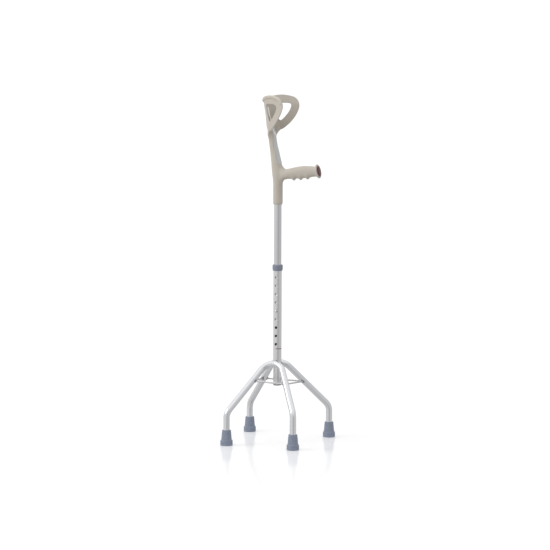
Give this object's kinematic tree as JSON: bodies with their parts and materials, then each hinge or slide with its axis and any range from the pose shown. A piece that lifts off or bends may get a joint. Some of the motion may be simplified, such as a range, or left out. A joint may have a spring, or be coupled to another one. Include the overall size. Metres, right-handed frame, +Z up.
{
  "type": "quad forearm crutch",
  "caption": "Forearm crutch with a looped cuff and hand grip on a telescopic tube, held by a sprung button, standing on a four-legged base with rubber ferrules.",
  "frame": {"origin": "on the ground, midway across the footprint of the four ferrules; the stem axis stands 10 mm ahead of it along +X", "axes": "+Z up along the stem, +X the way the hand grip points, +Y the user's left"},
  "size_m": [0.294, 0.295, 1.0334],
  "materials": {
    "tube_aluminium": "satin anodised, fine lengthwise grain",
    "leg_tube": "bright polished",
    "brace_rod": "bright drawn rod",
    "weld_bead": "dull rippled weld",
    "insert_aluminium": "satin",
    "handle_plastic": "warm beige-grey moulded plastic, fine texture",
    "collar_plastic": "blue-grey moulded plastic",
    "ferrule_rubber": "blue-grey moulded rubber",
    "reflector": "dark maroon, glossy",
    "dark_plastic": "dark moulded plastic",
    "spring_steel": "bright strip",
    "washer_steel": "zinc plated",
    "button_steel": "bright"
  },
  "bodies": {
    "base": {"lower_tube": "tube_aluminium", "lower_tube_plug": "dark_plastic", "guide_collar": "collar_plastic", "right_leg_hoop": "leg_tube", "left_leg_hoop": "leg_tube", "right_hoop_weld": "weld_bead", "left_hoop_weld": "weld_bead", "right_brace_rod": "brace_rod", "front_brace_rod": "brace_rod", "left_brace_rod": "brace_rod", "rear_brace_rod": "brace_rod", "right_rear_ferrule": "ferrule_rubber", "right_rear_ferrule_washer": "washer_steel", "right_front_ferrule": "ferrule_rubber", "right_front_ferrule_washer": "washer_steel", "left_rear_ferrule": "ferrule_rubber", "left_rear_ferrule_washer": "washer_steel", "left_front_ferrule": "ferrule_rubber", "left_front_ferrule_washer": "washer_steel"},
    "upper": {"handle_and_cuff": "handle_plastic", "stem_insert": "insert_aluminium", "grip_end_cap": "handle_plastic", "grip_end_reflector": "reflector", "upper_tube": "tube_aluminium", "upper_tube_bush": "dark_plastic", "button_spring": "spring_steel"},
    "button": {"snap_button": "button_steel"}
  },
  "joints": [
    {"name": "height_adjust", "type": "slide", "parent": "base", "child": "upper", "axis": [0, 0, 1], "range_m": [-0.1, 0.05]},
    {"name": "button_press", "type": "slide", "parent": "upper", "child": "button", "axis": [0, 1, 0], "range_m": [0, 0.0045], "stiffness_N_per_m": 2500, "springref_m": -0.0015, "deforming": ["button_spring"]}
  ]
}
